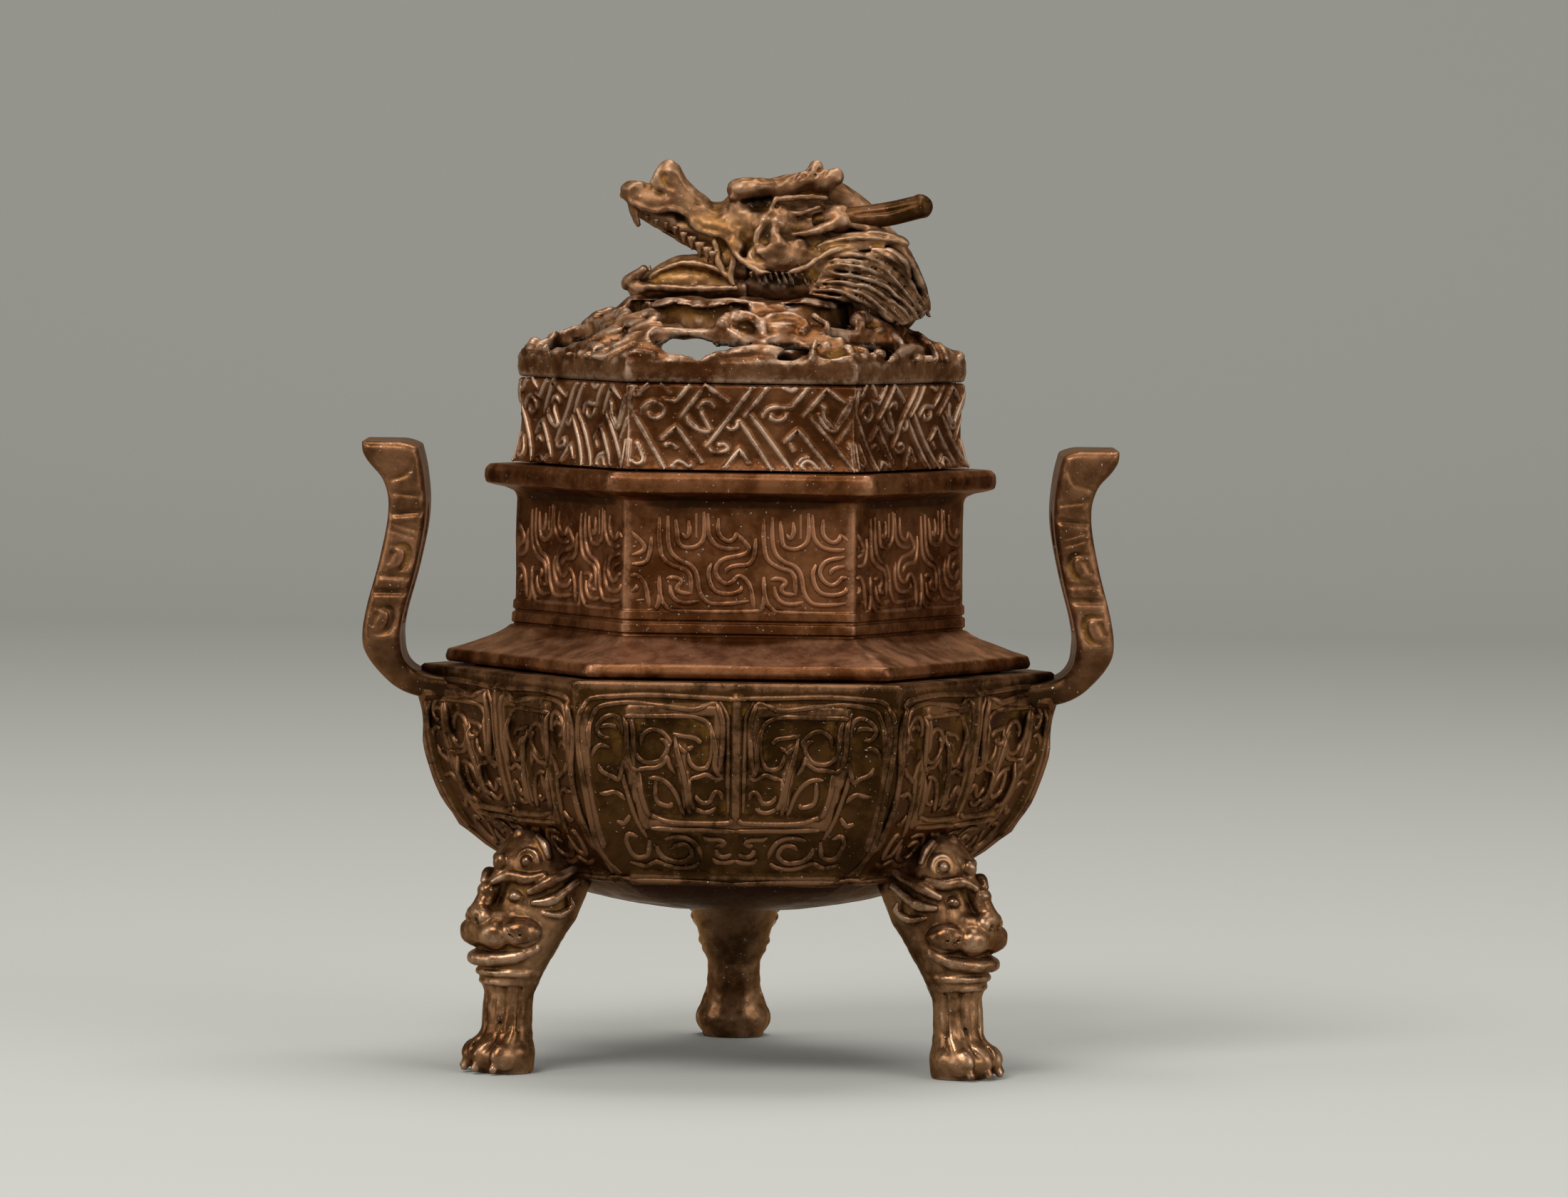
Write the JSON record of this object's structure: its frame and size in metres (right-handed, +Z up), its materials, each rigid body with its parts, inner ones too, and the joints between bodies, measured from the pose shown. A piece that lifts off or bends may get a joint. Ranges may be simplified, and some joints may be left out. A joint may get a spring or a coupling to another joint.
{
  "type": "tripod incense burner",
  "caption": "Bronze incense burner: a six-sided relief bowl on lion-mask legs with S-curved loop handles, a stacked collar and gallery, and a pierced lid with a dragon's head.",
  "frame": {"origin": "on the floor, under the middle of the box around the burner", "axes": "+Z up, +X to the right of the face seen in the picture, +Y away from it; the dragon looks along -X"},
  "size_m": [0.0946, 0.0736, 0.1141],
  "materials": {
    "bowl_bronze": "dark olive-brown patina, ochre in the hollows",
    "leg_bronze": "glossy dark brown patina",
    "collar_bronze": "russet-brown patina with copper-coloured worn edges",
    "lid_bronze": "warm brown patina, ochre in the hollows",
    "rivet_bronze": "plain bronze"
  },
  "bodies": {
    "bowl_body": {"bowl": "bowl_bronze", "leg_front_left": "leg_bronze", "leg_front_right": "leg_bronze", "leg_rear": "leg_bronze", "leg_rivet_front_left": "rivet_bronze", "leg_rivet_front_right": "rivet_bronze", "leg_rivet_rear": "rivet_bronze", "handle_left": "bowl_bronze", "handle_right": "bowl_bronze", "handle_rivet_left_front": "rivet_bronze", "handle_rivet_left_rear": "rivet_bronze", "handle_rivet_right_front": "rivet_bronze", "handle_rivet_right_rear": "rivet_bronze"},
    "collar_body": {"collar": "collar_bronze"},
    "gallery_body": {"gallery": "collar_bronze"},
    "lid_body": {"lid_cap": "lid_bronze", "dragon_head": "lid_bronze", "dragon_jaw": "lid_bronze", "dragon_horn_front": "lid_bronze", "dragon_horn_rear": "lid_bronze", "head_rivet": "rivet_bronze", "head_rivet_washer": "rivet_bronze"}
  },
  "joints": [
    {"name": "collar_lift", "type": "slide", "parent": "bowl_body", "child": "collar_body", "axis": [0, 0, 1], "range_m": [0, 0.06]},
    {"name": "gallery_lift", "type": "slide", "parent": "collar_body", "child": "gallery_body", "axis": [0, 0, 1], "range_m": [0, 0.03]},
    {"name": "lid_lift", "type": "slide", "parent": "gallery_body", "child": "lid_body", "axis": [0, 0, 1], "range_m": [0, 0.04]}
  ]
}
